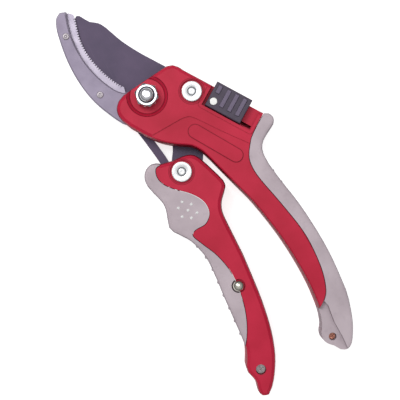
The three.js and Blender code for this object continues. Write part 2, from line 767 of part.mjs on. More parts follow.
// A flat-headed rivet right through a handle, with a dimple in its front head.
function bodyRivet(spot) {
  const face = thickness - rivetRecessDepth + clearance;
  const tailFace = 0.2;
  return turned(spot, [
    [0, tailFace],
    [rivetHeadRadius, tailFace],
    [rivetHeadRadius, rivetTailSeat - clearance],
    [rivetRadius, rivetTailSeat - clearance],
    [rivetRadius, face],
    [rivetHeadRadius, face],
    [rivetHeadRadius, face + rivetHeadHeight * 0.75],
    [rivetHeadRadius - 0.3, face + rivetHeadHeight],
    [2.1, face + rivetHeadHeight],
    [1.9, face + rivetHeadHeight - 0.4],
    [1.6, face + rivetHeadHeight - 0.15],
    [0, face + rivetHeadHeight - 0.2],
  ], 28);
}

const nutBottom = nutSeatZ + clearance + washerHeight + 0.1;
const nutTop = nutBottom + nutHeight;
const boltTop = nutTop + 1.9;

function mainBolt() {
  const headTop = boltHeadHeight;
  return turned(mainPivot, [
    [0, 0.35],
    [boltHeadRadius - 1, 0.35],
    [boltHeadRadius, 1.1],
    [boltHeadRadius, headTop],
    [boltRadius, headTop],
    [boltRadius, nutTop + 0.5],
    [boltRadius * 0.87, nutTop + 1.2],
    [boltRadius * 0.5, nutTop + 1.75],
    [0, boltTop],
  ], 24);
}

function mainNut() {
  const corners = nutFlats / Math.cos(Math.PI / 6) / 2;
  const nutTurn = 0.3;
  const hexagon = [];
  for (let i = 0; i < 6; i += 1) {
    const angle = (i / 6) * Math.PI * 2 + nutTurn;
    hexagon.push(new THREE.Vector2(corners * Math.cos(angle), corners * Math.sin(angle)));
  }
  const crown = turned(mainPivot, [
    [0, nutBottom],
    [corners + 0.1, nutBottom],
    [corners + 0.1, nutTop - 0.85],
    [nutFlats / 2 - 0.3, nutTop],
    [0, nutTop],
  ], 48);
  const threadMouth = turned(mainPivot, [
    [0, nutTop - 0.9],
    [boltRadius + clearance, nutTop - 0.9],
    [boltRadius + 0.6, nutTop + 0.1],
    [0, nutTop + 0.1],
  ]);
  return cutAll(prism(hexagon, nutBottom, nutTop).intersect(crown), [bore(mainPivot, boltRadius + 0.15), threadMouth]);
}

function ring(centre, inner, outer, bottom, top, segments = 24) {
  return disc(centre, outer, bottom, top, segments).subtract(disc(centre, inner, bottom - 1, top + 1, segments));
}

function mainWasher() {
  const bottom = nutSeatZ + clearance;
  return ring(mainPivot, boltRadius + 0.2, washerRadius, bottom, bottom + washerHeight);
}

function endScrew(spot, headRadius, faceZ) {
  const headTop = faceZ - screwSink;
  const slot = 0.35;
  const head = turned(spot, [
    [0, screwFootZ],
    [screwRadius, screwFootZ],
    [screwRadius, headTop - screwHeadHeight],
    [headRadius, headTop - screwHeadHeight * 0.7],
    [headRadius, headTop],
    [0, headTop],
  ], 24);
  const cut = (length, width) => prism(
    [
      new THREE.Vector2(spot.x - length, spot.y - width),
      new THREE.Vector2(spot.x + length, spot.y - width),
      new THREE.Vector2(spot.x + length, spot.y + width),
      new THREE.Vector2(spot.x - length, spot.y + width),
    ],
    headTop - 0.7,
    headTop + 1,
  );
  return cutAll(head, [cut(headRadius * 0.65, slot / 2 + 0.05), cut(slot / 2 + 0.05, headRadius * 0.65)]);
}

function handleStud() {
  const face = thickness - 1 + clearance;
  return turned(studSpot, [
    [0, thickness - studDepth],
    [studShankRadius, thickness - studDepth],
    [studShankRadius, face],
    [studRadius, face],
    [studRadius, face + 0.9],
    [studRadius * 0.92, face + 1.7],
    [studRadius * 0.66, face + 2.5],
    [studRadius * 0.3, face + 2.9],
    [0, face + 3],
  ], 28);
}

// The return spring: a coil round the handle rivet, one leg down into the lug, one against the shell.
function returnSpring() {
  const points = [
    new THREE.Vector3(springAnchor.x, springAnchor.y, plateBottom + 1),
    new THREE.Vector3(springAnchor.x, springAnchor.y, plateTop + 0.2),
    new THREE.Vector3(springAnchor.x + 0.4, springAnchor.y - 0.5, springBottom),
  ];
  const startAngle = THREE.MathUtils.degToRad(30);
  const whole = Math.PI * 2 * (springTurns - 1) + springEndAngle - startAngle;
  const steps = 44;
  for (let i = 0; i <= steps; i += 1) {
    const angle = startAngle + (i / steps) * whole;
    points.push(
      new THREE.Vector3(
        handlePivot.x + springMeanRadius * Math.cos(angle),
        handlePivot.y + springMeanRadius * Math.sin(angle),
        springBottom + (i / steps) * (springTop - springBottom),
      ),
    );
  }
  const last = points[points.length - 1];
  points.push(
    new THREE.Vector3(
      handlePivot.x + springLegRadius * Math.cos(springLegAngle),
      handlePivot.y + springLegRadius * Math.sin(springLegAngle),
      last.z,
    ),
  );
  const path = new THREE.CatmullRomCurve3(points, false, 'centripetal');
  const section = new THREE.Shape();
  section.absarc(0, 0, springWire / 2, 0, Math.PI * 2);
  const geometry = new THREE.ExtrudeGeometry(section, {
    steps: 64,
    curveSegments: 3,
    bevelEnabled: false,
    extrudePath: path,
  });
  return toManifold(geometry);
}

// ---- the sliding lock ----------------------------------------------------------------------------
const lockTop = lockFloor + clearance + lockHeight;

const ribPlaces = [2.6, 7.2, 11.4, 15.6]; // middle of each rib, from the slider's front end

function lockSlider() {
  const outline = [onLock(0, 0), onLock(lockLength, 0), onLock(lockLength, lockWidth), onLock(0, lockWidth)];
  const body = roundedPrism(outline, lockFloor + clearance, lockTop, 0.7, 0.7, 2);
  const ribs = ribPlaces.map((along, i) => {
    const from = i === 0 ? lockWidth - 5.1 : lockWidth - 10;
    return lockBlock(along - ribWidth / 2, along + ribWidth / 2, from, lockWidth - 1.1, lockTop - 2, lockTop + ribHeight);
  });
  return cutAll(joinAll([body, ...ribs]), [
    lockDotSeat(lockDotRadius + 0.1, lockTop - 0.8, lockTop + 1),
    lockBlock(0.9, 9.8, slotInset + 0.15, slotInset + slotWidth - 0.1, lockFloor - 1, lockFloor + 2.4),
  ]);
}

const lockDotRadius = 1.75;

function lockDotSeat(radius, bottom, top) {
  return disc(onLock(2.9, 3.4), radius, bottom, top, 24);
}

function lockTongue() {
  const stem = lockBlock(1.2, 9.5, slotInset + 0.25, slotInset + 0.25 + stemThickness, tongueBottom, lockFloor + 2.1);
  const foot = lockBlock(1.4, 6.4, -2.6, slotInset + 0.25 + stemThickness, tongueBottom, tongueTop);
  return joinAll([stem, foot, ...tonguePath(0).map((outline) => prism(outline, tongueBottom, tongueTop))]);
}

// ---- the plates ------------------------------------------------------------------------------------
function framePlate() {
  return cutAll(prism(plateOutline, plateBottom, plateTop), [
    bore(mainPivot, boltRadius + clearance),
    bore(bodyRivetSpot, rivetRadius + clearance),
    bore(handlePivot, rivetRadius + 0.15),
    bore(springAnchor, springWire / 2 + clearance),
  ]);
}

function pullLink() {
  return cutAll(joinAll(linkShape(linkWidth, linkEyeRadius)), [
    bore(linkLowPin, linkPinRadius + 0.1),
    bore(linkHighPin, linkPinRadius + linkPinPlay),
  ]);
}

addPiece('upper_front_shell', upperShell(true), finishes.redShell());
addPiece('upper_back_shell', upperShell(false), finishes.redShell());
addPiece('upper_grip', upperGrip(), finishes.greyGrip());
addPiece('hook_jaw', hook(), finishes.satinAluminium());
addPiece('serrated_insert', serratedInsert(), finishes.toothedSteel());
insertRivetSpots.forEach((spot, i) => addPiece(`insert_rivet_${i + 1}`, insertRivet(spot), finishes.zinc()));
addPiece('frame_plate', framePlate(), finishes.darkCoating());
addPiece('main_bolt', mainBolt(), finishes.zinc());
addPiece('main_washer', mainWasher(), finishes.zinc());
addPiece('main_nut', mainNut(), finishes.zinc());
addPiece('pivot_bush', ring(mainPivot, boltRadius + 0.15, bushRadius, bladeBottom - 0.15, bladeTop + 0.15), finishes.brass());
addPiece('body_rivet', bodyRivet(bodyRivetSpot), finishes.zinc());
addPiece(
  'rivet_spacer',
  ring(bodyRivetSpot, rivetRadius + 0.2, spacerRadius, plateTop + 0.1, hookBottom - 0.1),
  finishes.zinc(),
);
addPiece('upper_end_screw', endScrew(upperScrewSpot, upperScrewBore - 0.15, thickness - tabDrop), finishes.brass());
addPiece('return_spring', returnSpring(), finishes.springSteel());
addPiece('blade', blade(), finishes.darkCoating());
addPiece('blade_link_pin', disc(linkHighPin, linkPinRadius, plateBottom + 0.1, bladeTop - 0.1, 24), finishes.zinc());
addPiece('pull_link', pullLink(), finishes.darkCoating());
addPiece('lower_front_shell', lowerShell(true), finishes.redShell());
addPiece('lower_back_shell', lowerShell(false), finishes.redShell());
addPiece('lower_grip', lowerGrip(), finishes.greyGrip());
addPiece('handle_rivet', bodyRivet(handlePivot), finishes.zinc());
addPiece('handle_link_pin', disc(linkLowPin, linkPinRadius, plateBottom - 2, plateTop + 2, 24), finishes.zinc());
addPiece('handle_stud', handleStud(), finishes.zinc());
addPiece('lower_end_screw', endScrew(lowerScrewSpot, lowerScrewBore - 0.15, thickness), finishes.zinc());
addPiece('lock_slider', lockSlider(), finishes.blackPlastic());
addPiece('lock_dot', lockDotSeat(lockDotRadius, lockTop - 0.7, lockTop + 0.15), finishes.whitePlastic());
addPiece('lock_tongue', lockTongue(), finishes.zinc());

// The origin is the middle of the tool's own box, on the plane of the back faces.
const box = new THREE.Box3().setFromObject(shears);
const middle = box.getCenter(new THREE.Vector3());
shears.position.set(-middle.x, -middle.y, -box.min.z);
shears.updateMatrixWorld(true);

export default shears;
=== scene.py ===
import json
import math

import bpy
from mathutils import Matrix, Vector


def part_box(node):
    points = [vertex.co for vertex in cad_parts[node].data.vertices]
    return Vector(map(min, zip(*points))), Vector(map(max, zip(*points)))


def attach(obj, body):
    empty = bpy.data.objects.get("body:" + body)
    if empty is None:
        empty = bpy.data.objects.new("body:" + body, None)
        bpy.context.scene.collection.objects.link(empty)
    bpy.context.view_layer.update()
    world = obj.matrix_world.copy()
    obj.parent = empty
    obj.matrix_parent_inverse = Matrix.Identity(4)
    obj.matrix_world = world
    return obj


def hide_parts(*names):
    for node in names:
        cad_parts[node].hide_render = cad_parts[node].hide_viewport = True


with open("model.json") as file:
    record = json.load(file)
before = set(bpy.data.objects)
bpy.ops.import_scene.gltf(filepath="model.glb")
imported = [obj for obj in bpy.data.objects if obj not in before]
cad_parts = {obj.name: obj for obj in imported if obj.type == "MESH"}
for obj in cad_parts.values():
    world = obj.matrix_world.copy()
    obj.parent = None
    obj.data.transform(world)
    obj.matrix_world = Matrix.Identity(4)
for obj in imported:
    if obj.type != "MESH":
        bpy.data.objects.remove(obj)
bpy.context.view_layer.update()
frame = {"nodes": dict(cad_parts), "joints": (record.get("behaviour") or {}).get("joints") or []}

mm = 0.001


# ---- small helpers for selecting and finishing a piece

def deselectAll():
    if bpy.context.object and bpy.context.object.mode != "OBJECT":
        bpy.ops.object.mode_set(mode="OBJECT")
    bpy.ops.object.select_all(action="DESELECT")


def makeActive(piece):
    deselectAll()
    piece.select_set(True)
    bpy.context.view_layer.objects.active = piece


def applyModifier(piece, kind, **settings):
    makeActive(piece)
    modifier = piece.modifiers.new(kind, kind)
    for key, value in settings.items():
        setattr(modifier, key, value)
    bpy.ops.object.modifier_apply(modifier=modifier.name)


def smoothByAngle(piece, degrees):
    makeActive(piece)
    bpy.ops.object.shade_smooth_by_angle(angle=math.radians(degrees))


# A merged copy of a CAD node, with its flat faces whole again
def copyNode(node, name, flatness=0.4):
    mesh = frame["nodes"][node].data.copy()
    mesh.materials.clear()
    piece = bpy.data.objects.new(name, mesh)
    bpy.context.scene.collection.objects.link(piece)
    makeActive(piece)
    bpy.ops.object.mode_set(mode="EDIT")
    bpy.ops.mesh.select_all(action="SELECT")
    bpy.ops.mesh.remove_doubles(threshold=0.002 * mm)
    bpy.ops.mesh.dissolve_limited(angle_limit=math.radians(flatness))
    bpy.ops.object.mode_set(mode="OBJECT")
    return piece


# Marks the middle line of every small bevel, for the edges that the materials paint with shade or highlight,
# and with wear on the aluminium
def markEdges(piece, fullBend=30, largest=1.2):
    mesh = piece.data
    bends = [0.0] * len(mesh.vertices)
    areas = [0.0] * len(mesh.vertices)
    edgeFaces = {}
    for polygon in mesh.polygons:
        for i in polygon.vertices:
            areas[i] = max(areas[i], polygon.area)
        for key in polygon.edge_keys:
            edgeFaces.setdefault(key, []).append(polygon.normal.copy())
    for (a, b), normals in edgeFaces.items():
        if len(normals) == 2 and normals[0].length > 0 and normals[1].length > 0:
            bend = min(normals[0].angle(normals[1], 0.0) / math.radians(fullBend), 1.0)
            bends[a] = max(bends[a], bend)
            bends[b] = max(bends[b], bend)
    layer = mesh.attributes.new("edge", "FLOAT", "POINT")
    for i, bend in enumerate(bends):
        layer.data[i].value = bend if areas[i] < largest * mm * mm else 0.0


def finishPiece(piece, body, slotName, material, *nodes):
    piece.data.materials.clear()
    piece.data.materials.append(material)
    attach(piece, body)
    if nodes:
        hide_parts(*nodes)
    return piece


# ---- shader maths: a wrapped socket that adds Math nodes when it is used in an expression

class Wire:
    def __init__(self, tree, socket):
        self.tree = tree
        self.socket = socket

    def maths(self, operation, other, swapped=False):
        pair = [other, self] if swapped else [self, other]
        return self.tree.add("ShaderNodeMath", {"operation": operation}, {0: pair[0], 1: pair[1]})

    def __add__(self, other):
        return self.maths("ADD", other)

    def __radd__(self, other):
        return self.maths("ADD", other, True)

    def __sub__(self, other):
        return self.maths("SUBTRACT", other)

    def __rsub__(self, other):
        return self.maths("SUBTRACT", other, True)

    def __mul__(self, other):
        return self.maths("MULTIPLY", other)

    def __rmul__(self, other):
        return self.maths("MULTIPLY", other, True)


class Finish:
    def __init__(self, name, color, roughness, metallic=0.0, **fixed):
        self.material = bpy.data.materials.new(name)
        self.material.use_nodes = True
        self.nodes = self.material.node_tree.nodes
        self.links = self.material.node_tree.links
        self.shader = self.nodes["Principled BSDF"]
        self.shader.inputs["Base Color"].default_value = (*color, 1)
        self.shader.inputs["Roughness"].default_value = roughness
        self.shader.inputs["Metallic"].default_value = metallic
        for key, value in fixed.items():
            self.shader.inputs[key.replace("_", " ")].default_value = value
        self.place = self.add("ShaderNodeTexCoord", {}, {}, "Object")

    # Adds one node: its settings first, then the values or wires of its sockets
    def add(self, kind, settings, inputs, output=0):
        node = self.nodes.new(kind)
        for key, value in settings.items():
            if key == "stops":
                for i, (position, shade) in enumerate(value):
                    elements = node.color_ramp.elements
                    stop = elements[i] if i < 2 else elements.new(position)
                    stop.position = position
                    stop.color = (shade, shade, shade, 1)
            else:
                setattr(node, key, value)
        for key, value in inputs.items():
            if isinstance(value, Wire):
                self.links.new(value.socket, node.inputs[key])
            else:
                node.inputs[key].default_value = value
        return Wire(self, node.outputs[output])

    def noise(self, size, detail=2.0, place=None, roughness=0.5):
        inputs = {"Vector": place or self.place, "Scale": 1 / size, "Detail": detail, "Roughness": roughness}
        return self.add("ShaderNodeTexNoise", {}, inputs, "Fac")

    def ramp(self, value, low, high):
        stops = [(low, 0.0), (high, 1.0)]
        return self.add("ShaderNodeValToRGB", {"stops": stops}, {"Fac": value}, "Color")

    def moved(self, centre=(0, 0, 0), turn=(0, 0, 0), scale=(1, 1, 1)):
        inputs = {"Vector": self.place, "Location": centre, "Rotation": turn, "Scale": scale}
        return self.add("ShaderNodeMapping", {}, inputs)

    def blend(self, factor, colorA, colorB):
        node = self.nodes.new("ShaderNodeMix")
        node.data_type = "RGBA"
        for socket, value in ((0, factor), (6, colorA), (7, colorB)):
            if isinstance(value, Wire):
                self.links.new(value.socket, node.inputs[socket])
            elif socket == 0:
                node.inputs[socket].default_value = value
            else:
                node.inputs[socket].default_value = (*value, 1)
        return Wire(self, node.outputs[2])

    # 0 on level faces, 1 on upright walls; the finishes paint shade on the walls with it
    def slope(self, low=0.2, high=0.95):
        normal = self.add("ShaderNodeNewGeometry", {}, {}, "Normal")
        parts = self.add("ShaderNodeSeparateXYZ", {}, {0: normal}, "Z")
        level = self.add("ShaderNodeMath", {"operation": "ABSOLUTE"}, {0: parts})
        return self.add("ShaderNodeMapRange", {}, {"Value": level, "From Min": high, "From Max": low})

    # Distance from an upright axis, in metres
    def reach(self, centre):
        place = self.moved(centre=(-centre[0], -centre[1], 0), scale=(1, 1, 0))
        return self.add("ShaderNodeVectorMath", {"operation": "LENGTH"}, {0: place}, "Value")

    # 1 on a thin ring round an upright axis, falling to 0 beside it
    def ring(self, centre, radius, width):
        off = self.add("ShaderNodeMath", {"operation": "ABSOLUTE"}, {0: self.reach(centre) - radius})
        return self.add("ShaderNodeMapRange", {},
                        {"Value": off, "From Min": width / 2, "From Max": width / 4})

    # 1 on the outline of a long pad with round ends
    def padLine(self, start, end, radius, width):
        along = Vector((end[0] - start[0], end[1] - start[1], 0))
        place = self.moved(centre=(-start[0], -start[1], 0), scale=(1, 1, 0))
        share = self.add("ShaderNodeVectorMath", {"operation": "DOT_PRODUCT"},
                         {0: place, 1: along / along.length_squared}, "Value")
        share = self.add("ShaderNodeClamp", {}, {0: share})
        nearest = self.add("ShaderNodeVectorMath", {"operation": "SCALE"}, {0: along, "Scale": share},
                           "Vector")
        away = self.add("ShaderNodeVectorMath", {"operation": "DISTANCE"}, {0: place, 1: nearest}, "Value")
        off = self.add("ShaderNodeMath", {"operation": "ABSOLUTE"}, {0: away - radius})
        return self.add("ShaderNodeMapRange", {},
                        {"Value": off, "From Min": width / 2, "From Max": width / 4})

    def height(self):
        return self.add("ShaderNodeSeparateXYZ", {}, {0: self.place}, "Z")

    def edge(self):
        return self.add("ShaderNodeAttribute", {"attribute_name": "edge"}, {}, "Fac")

    def drive(self, socketName, value):
        self.links.new(value.socket, self.shader.inputs[socketName])

    def bump(self, *layers):
        normal = None
        for height, distance, strength in layers:
            inputs = {"Height": height, "Distance": distance, "Strength": strength}
            if normal:
                inputs["Normal"] = normal
            normal = self.add("ShaderNodeBump", {}, inputs)
        self.drive("Normal", normal)


def srgb(red, green, blue):
    def linear(value):
        share = value / 255
        return share / 12.92 if share <= 0.04045 else ((share + 0.055) / 1.055) ** 2.4
    return tuple(linear(value) for value in (red, green, blue))


# ---- finishes

redShellLook = {
    "color": srgb(200, 34, 66),
    "shade": srgb(182, 24, 54),
    # The edge red is painted shade on the small bevels and in the moulded lines
    "edge": srgb(104, 0, 22),
    # The wall red is painted shade for upright walls and roundings
    "paintedWallShade": srgb(138, 2, 32),
    "scuff": srgb(222, 84, 110),
    "roughness": 0.52,
    "grain": 0.5 * mm,
}


def jointPlace(name):
    joint = next(joint for joint in frame["joints"] if joint["name"] == name)
    return Vector(joint["pos_m"])


def middleOf(node):
    low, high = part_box(node)
    return ((low.x + high.x) / 2, (low.y + high.y) / 2)


# Fine moulded lines of the front face: rings round the fasteners and the long pad's outline, bumped and
# painted dark as shade in the grooves
shellLines = {
    "nutRings": (8.25 * mm, 9.6 * mm),
    "rivetRings": (5.55 * mm, 6.15 * mm),
    "padStart": (11.3 * mm, -25.7 * mm),   # from the main pivot
    "padEnd": (22.4 * mm, -45 * mm),
    "padRadius": 3.3 * mm,
    "width": 0.5 * mm,
}


def redShellFinish():
    look = redShellLook
    lines = shellLines
    finish = Finish("moulded_red", look["color"], look["roughness"], Coat_Roughness=0.3,
                    Specular_IOR_Level=0.22)
    cloud = finish.noise(18 * mm, 3)
    grain = finish.noise(look["grain"], 3, roughness=0.6)
    scuff = finish.ramp(finish.noise(2.5 * mm, 6, finish.moved(scale=(1, 0.3, 1)), 0.7), 0.6, 0.75)
    bolt = jointPlace("blade_swing")
    start = (bolt.x + lines["padStart"][0], bolt.y + lines["padStart"][1])
    end = (bolt.x + lines["padEnd"][0], bolt.y + lines["padEnd"][1])
    line = finish.padLine(start, end, lines["padRadius"], lines["width"])
    for radius in lines["nutRings"]:
        line = line + finish.ring(bolt, radius, lines["width"])
    for node in ("body_rivet", "handle_rivet"):
        for radius in lines["rivetRings"]:
            line = line + finish.ring(middleOf(node), radius, lines["width"] * 0.7)
    front = finish.add("ShaderNodeMapRange", {},
                       {"Value": finish.height(), "From Min": 15 * mm, "From Max": 16 * mm})
    line = finish.add("ShaderNodeClamp", {}, {0: line * front})
    color = finish.blend(finish.ramp(cloud, 0.35, 0.7), look["color"], look["shade"])
    color = finish.blend(finish.ramp(grain, 0.45, 0.7) * 0.2, color, look["shade"])
    color = finish.blend(scuff * 0.06, color, look["scuff"])
    # Painted shade: upright walls and roundings turn darker red
    color = finish.blend(finish.slope() * 0.9, color, look["paintedWallShade"])
    # Painted shade: the small bevels darkened towards the edge red
    color = finish.blend(finish.edge() * 0.5, color, look["edge"])
    # Painted shade: the moulded lines and rings darkened as if shade lay in them
    color = finish.blend(line * 0.62, color, look["edge"])
    finish.drive("Base Color", color)
    finish.drive("Roughness", look["roughness"] + grain * 0.1 + scuff * 0.1)
    finish.drive("Coat Weight", 0.06 - scuff * 0.04)
    finish.bump((grain, 0.05 * mm, 0.35), (cloud, 0.3 * mm, 0.12), (1 - line, 0.15 * mm, 0.6))
    return finish.material


gripLook = {
    "color": srgb(198, 184, 191),
    "shade": srgb(182, 168, 175),
    "grime": srgb(152, 138, 145),
    # The wall grey is painted shade for upright walls and roundings
    "paintedWallShade": srgb(120, 106, 116),
    # The rim grey is a painted highlight on the small bevels
    "paintedRimHighlight": srgb(222, 212, 218),
    "roughness": 0.66,
    "grain": 0.28 * mm,
}


def gripFinish():
    look = gripLook
    finish = Finish("soft_grey_rubber", look["color"], look["roughness"], Specular_IOR_Level=0.2)
    cloud = finish.noise(14 * mm, 4)
    grain = finish.noise(look["grain"], 2, roughness=0.7)
    pores = finish.add("ShaderNodeTexVoronoi", {"feature": "F1"},
                       {"Vector": finish.place, "Scale": 1 / (0.6 * mm)}, 0)
    color = finish.blend(finish.ramp(cloud, 0.35, 0.7), look["color"], look["shade"])
    color = finish.blend(finish.ramp(finish.noise(3 * mm, 5), 0.58, 0.8) * 0.25, color, look["grime"])
    # Painted shade: upright walls and roundings darkened towards the wall grey
    color = finish.blend(finish.slope() * 0.55, color, look["paintedWallShade"])
    # Painted highlight: the small bevels lightened
    color = finish.blend(finish.edge() * 0.35, color, look["paintedRimHighlight"])
    finish.drive("Base Color", color)
    finish.drive("Roughness", look["roughness"] + grain * 0.14)
    finish.bump((pores, 0.06 * mm, 0.35), (grain, 0.04 * mm, 0.5))
    return finish.material


aluminiumLook = {
    "color": srgb(146, 136, 156),
    "shade": srgb(130, 120, 140),
    # The pale edge colour is partly wear and partly painted highlight
    "bare": srgb(206, 200, 212),
    "roughness": 0.46,
}


def aluminiumFinish():
    look = aluminiumLook
    finish = Finish("satin_aluminium", look["color"], look["roughness"], 0.35)
    blasted = finish.noise(0.22 * mm, 2, roughness=0.7)
    cloud = finish.noise(9 * mm, 4)
    lines = finish.noise(0.5 * mm, 2, finish.moved(turn=(0, 0, 0.12), scale=(1, 0.04, 1)))
    color = finish.blend(finish.ramp(cloud, 0.35, 0.7), look["color"], look["shade"])
    # Lighter bevelled edges: partly wear and partly painted highlight
    color = finish.blend(finish.edge() * 0.7, color, look["bare"])
    finish.drive("Base Color", color)
    finish.drive("Roughness", look["roughness"] + blasted * 0.12 - finish.edge() * 0.12)
    finish.bump((blasted, 0.03 * mm, 0.5), (lines, 0.02 * mm, 0.25))
    return finish.material


# The gullet colour is painted shade on the sloping sides of the teeth
steelLook = {"color": srgb(176, 168, 184), "shade": srgb(156, 148, 166), "paintedGulletShade": srgb(50, 42, 58),
             "roughness": 0.38}


def steelFinish():
    look = steelLook
    finish = Finish("ground_steel", look["color"], look["roughness"], 0.4)
    lines = finish.noise(0.35 * mm, 3, finish.moved(turn=(0, 0, -0.2), scale=(1, 0.05, 1)))
    cloud = finish.noise(6 * mm, 3)
    color = finish.blend(finish.ramp(cloud, 0.35, 0.7), look["color"], look["shade"])
    # Painted shade: the sloping sides of the teeth darkened towards near black
    finish.drive("Base Color", finish.blend(finish.slope(0.3, 0.8) * 0.9, color, look["paintedGulletShade"]))
    finish.drive("Roughness", look["roughness"] + lines * 0.16)
    finish.bump((lines, 0.03 * mm, 0.4),)
    return finish.material


coatingLook = {
    "color": srgb(86, 71, 98),
    "shade": srgb(74, 62, 88),
    "rub": srgb(104, 90, 116),
    # The edge colour is painted shade on side walls and small bevels
    "edge": srgb(26, 20, 32),
    "roughness": 0.46,
}


def coatingFinish():
    look = coatingLook
    finish = Finish("dark_coating", look["color"], look["roughness"], 0.1, Specular_IOR_Level=0.35)
    grain = finish.noise(0.3 * mm, 3, roughness=0.65)
    cloud = finish.noise(12 * mm, 4)
    strokes = finish.noise(0.7 * mm, 4, finish.moved(turn=(0, 0, 0.35), scale=(1, 0.05, 1)), 0.6)
    color = finish.blend(finish.ramp(cloud, 0.35, 0.7), look["color"], look["shade"])
    color = finish.blend(finish.ramp(strokes, 0.6, 0.78) * 0.3, color, look["rub"])
    # Painted shade: side walls and small bevels darkened towards near black
    color = finish.blend(finish.slope(0.3, 0.8) * 0.8, color, look["edge"])
    color = finish.blend(finish.edge() * 0.7, color, look["edge"])
    finish.drive("Base Color", color)
    finish.drive("Roughness", look["roughness"] + grain * 0.12)
    finish.bump((grain, 0.03 * mm, 0.4), (strokes, 0.02 * mm, 0.2))
    return finish.material


# Turned rings round one axis, for each bright round piece
def zincFinish(name, centre, color=srgb(232, 233, 238), roughness=0.2, metallic=0.92, paintedGrooveShade=None):
    finish = Finish(name, color, roughness, metallic)
    place = finish.moved(centre=(-centre[0], -centre[1], 0))
    wave = {"wave_type": "RINGS", "rings_direction": "Z", "wave_profile": "SIN"}
    rings = finish.add("ShaderNodeTexWave", wave,
                       {"Vector": place, "Scale": 1 / (1.2 * mm), "Distortion": 1.5}, "Fac")
    spots = finish.noise(0.9 * mm, 4)
    cloud = finish.noise(3 * mm, 3)
    dull = tuple(channel * 0.8 for channel in color)
    shade = finish.blend(finish.ramp(cloud, 0.4, 0.75) * 0.5, color, dull)
    # Painted shade: a dark ring where a groove or the gap round the bolt lies
    if paintedGrooveShade:
        shade = finish.blend(finish.ring(centre, *paintedGrooveShade) * 0.9, shade, srgb(52, 56, 66))
    finish.drive("Base Color", shade)
    finish.drive("Roughness", roughness + rings * 0.05 + finish.ramp(spots, 0.5, 0.7) * 0.08)
    finish.bump((rings, 0.01 * mm, 0.25), (spots, 0.02 * mm, 0.15))
    return finish.material


plasticLook = {
    "color": srgb(66, 56, 74),
    # The rib colour is a painted highlight on the rib tops and also the colour of random wear
    "rib": srgb(104, 92, 116),
    "edge": srgb(30, 24, 34),
    "roughness": 0.5,
}


def blackPlasticFinish():
    look = plasticLook
    finish = Finish("moulded_black", look["color"], look["roughness"])
    grain = finish.noise(0.35 * mm, 3, roughness=0.6)
    wear = finish.ramp(finish.noise(2 * mm, 5), 0.45, 0.75)
    parts = finish.nodes.new("ShaderNodeSeparateXYZ")
    finish.links.new(finish.place.socket, parts.inputs[0])
    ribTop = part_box("lock_slider")[1].z
    height = Wire(finish, parts.outputs["Z"])
    # Painted highlight: the raised rib tops lightened by their height
    litRibTops = finish.add("ShaderNodeMapRange", {},
                        {"Value": height, "From Min": ribTop - 0.4 * mm, "From Max": ribTop - 0.15 * mm})
    color = finish.blend(litRibTops, look["color"], look["rib"])
    # Painted shade: the small bevels darkened
    color = finish.blend(finish.edge() * 0.6, color, look["edge"])
    color = finish.blend(wear * 0.18, color, look["rib"])
    finish.drive("Base Color", color)
    finish.drive("Roughness", look["roughness"] + grain * 0.16)
    finish.bump((grain, 0.06 * mm, 0.5),)
    return finish.material


def whitePlasticFinish():
    finish = Finish("white_insert", srgb(246, 246, 244), 0.4)
    speck = finish.noise(0.8 * mm, 3)
    finish.drive("Base Color",
                 finish.blend(finish.ramp(speck, 0.55, 0.8), srgb(246, 246, 244), srgb(228, 226, 224)))
    finish.drive("Roughness", 0.36 + speck * 0.12)
    return finish.material


redMaterial = redShellFinish()
gripMaterial = gripFinish()
aluminiumMaterial = aluminiumFinish()
steelMaterial = steelFinish()
coatingMaterial = coatingFinish()
plasticMaterial = blackPlasticFinish()
whiteMaterial = whitePlasticFinish()
springMaterial = zincFinish("drawn_wire", (0, 0), srgb(150, 151, 156), 0.35)
print("finishes ready")


# ---- red shells: merged copies with a small softened edge

shellLook = {"edge": 0.22 * mm}


def softenedCopy(node, name, body, slotName, material, edge, rings=2, sharp=32, smooth=38):
    piece = copyNode(node, name)
    applyModifier(piece, "BEVEL", width=edge, segments=rings, limit_method="ANGLE",
                  angle_limit=math.radians(sharp),
                  use_clamp_overlap=True, miter_outer="MITER_ARC")
    smoothByAngle(piece, smooth)
    applyModifier(piece, "WEIGHTED_NORMAL", keep_sharp=True, weight=90)
    markEdges(piece)
    return finishPiece(piece, body, slotName, material, node)


for node, body in (
    ("upper_front_shell", "upper_handle"),
    ("upper_back_shell", "upper_handle"),
    ("lower_front_shell", "lower_handle"),
    ("lower_back_shell", "lower_handle"),
):
    softenedCopy(node, "moulded_" + node, body, "red_shell", redMaterial, shellLook["edge"])
print("shells ready")


# ---- soft grips: a softened copy with a small bevel, and the thumb pad's pips

gripShape = {"edge": 0.3 * mm, "pipRadius": 0.85 * mm, "pipRise": 0.34 * mm}
thumbPad = {
    "spots": ((-6.9, -12.4), (-3.7, -15.5), (-9.9, -14.0), (-6.5, -17.2), (-3.4, -20.3), (-10.4, -18.4),
              (-6.9, -21.1)),
}    # millimetres from the handle's pivot


# Small domes sunk into the thumb pad's face
def addPips(grip):
    hinge = jointPlace("handle_swing")
    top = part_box("lower_grip")[1].z
    sunk = gripShape["pipRadius"] - gripShape["pipRise"]
    pips = []
    for x, y in thumbPad["spots"]:
        deselectAll()
        place = (hinge.x + x * mm, hinge.y + y * mm, top - sunk)
        bpy.ops.mesh.primitive_uv_sphere_add(segments=24, ring_count=16, radius=gripShape["pipRadius"],
                                             location=place)
        bpy.ops.object.shade_smooth()
        pips.append(bpy.context.object)
    deselectAll()
    for pip in pips:
        pip.select_set(True)
    grip.select_set(True)
    bpy.context.view_layer.objects.active = grip
    bpy.ops.object.join()


